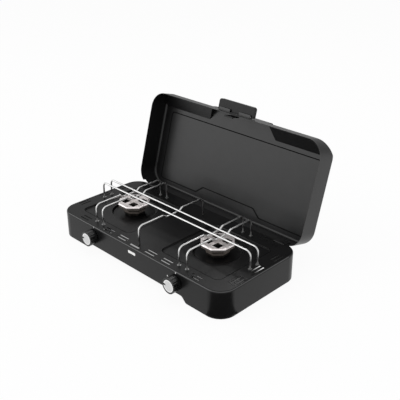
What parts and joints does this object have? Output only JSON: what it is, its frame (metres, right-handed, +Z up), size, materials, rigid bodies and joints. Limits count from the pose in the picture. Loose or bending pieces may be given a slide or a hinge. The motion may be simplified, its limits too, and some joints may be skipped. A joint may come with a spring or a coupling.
{
  "type": "two-burner camping stove",
  "caption": "Portable gas stove: a pressed steel tray with pan-support wires, stamped burners, side-by-side knobs and a deep hinged lid with a lift latch, standing open.",
  "frame": {"origin": "centre of the open stove's bounding box, on the surface it stands on", "axes": "+X along the stove's width to the right as seen from the knobs, +Y to the back, +Z up"},
  "size_m": [0.51, 0.364, 0.3013],
  "materials": {
    "charcoal_paint": "satin charcoal paint",
    "black_paint": "satin black paint",
    "bright_wire": "bright drawn steel",
    "zinc_steel": "zinc-plated steel",
    "burner_steel": "heat-stained steel",
    "cap_steel": "pressed bright steel",
    "brass": "machined brass",
    "rubber": "moulded rubber",
    "pale_plate": "plain pale plate",
    "knob_plastic": "moulded black plastic",
    "knob_face": "bright disc"
  },
  "bodies": {
    "base": {"base_shell": "charcoal_paint", "front_badge": "pale_plate", "rubber_feet": "rubber", "burner_cup_left": "burner_steel", "burner_cup_right": "burner_steel", "burner_cap_left": "cap_steel", "burner_cap_right": "cap_steel", "burner_screws": "zinc_steel", "mixing_tube_left": "zinc_steel", "mixing_tube_right": "zinc_steel", "injector_left": "brass", "injector_right": "brass", "valve_left": "brass", "valve_right": "brass", "valve_nuts": "zinc_steel", "gas_rail": "zinc_steel", "rail_plug": "brass", "rail_brackets": "zinc_steel", "gas_inlet": "brass", "inlet_nut": "zinc_steel", "long_wire_front": "bright_wire", "long_wire_rear": "bright_wire", "left_wire_outer": "bright_wire", "left_wire_inner": "bright_wire", "middle_wire": "bright_wire", "right_wire_inner": "bright_wire", "right_wire_outer": "bright_wire", "wire_clips": "bright_wire", "wire_push_nuts": "zinc_steel", "hinge_bracket_left": "black_paint", "hinge_bracket_right": "black_paint", "hinge_pin_left": "zinc_steel", "hinge_pin_right": "zinc_steel", "bracket_rivets": "black_paint"},
    "lid": {"lid_shell": "charcoal_paint", "hinge_arm_left": "black_paint", "hinge_arm_right": "black_paint", "arm_rivets": "charcoal_paint", "latch_bracket": "black_paint", "latch_pins": "black_paint", "latch_rivets": "charcoal_paint"},
    "latch": {"latch_lever": "black_paint"},
    "knob_left": {"knob_left": "knob_plastic", "knob_face_left": "knob_face", "valve_stem_left": "zinc_steel"},
    "knob_right": {"knob_right": "knob_plastic", "knob_face_right": "knob_face", "valve_stem_right": "zinc_steel"}
  },
  "joints": [
    {"name": "lid_hinge", "type": "hinge", "parent": "base", "child": "lid", "pos_m": [0, 0.07028, 0.061], "axis": [1, 0, 0], "range_deg": [0, 105.6]},
    {"name": "latch_release", "type": "hinge", "parent": "lid", "child": "latch", "pos_m": [0, 0.15185, 0.28065], "axis": [-1, 0, 0], "range_deg": [0, 5]},
    {"name": "knob_left_turn", "type": "hinge", "parent": "base", "child": "knob_left", "pos_m": [-0.132, -0.17, 0.038], "axis": [0, -1, 0], "range_deg": [-90, 90]},
    {"name": "knob_right_turn", "type": "hinge", "parent": "base", "child": "knob_right", "pos_m": [0.132, -0.17, 0.038], "axis": [0, -1, 0], "range_deg": [-90, 90]}
  ]
}
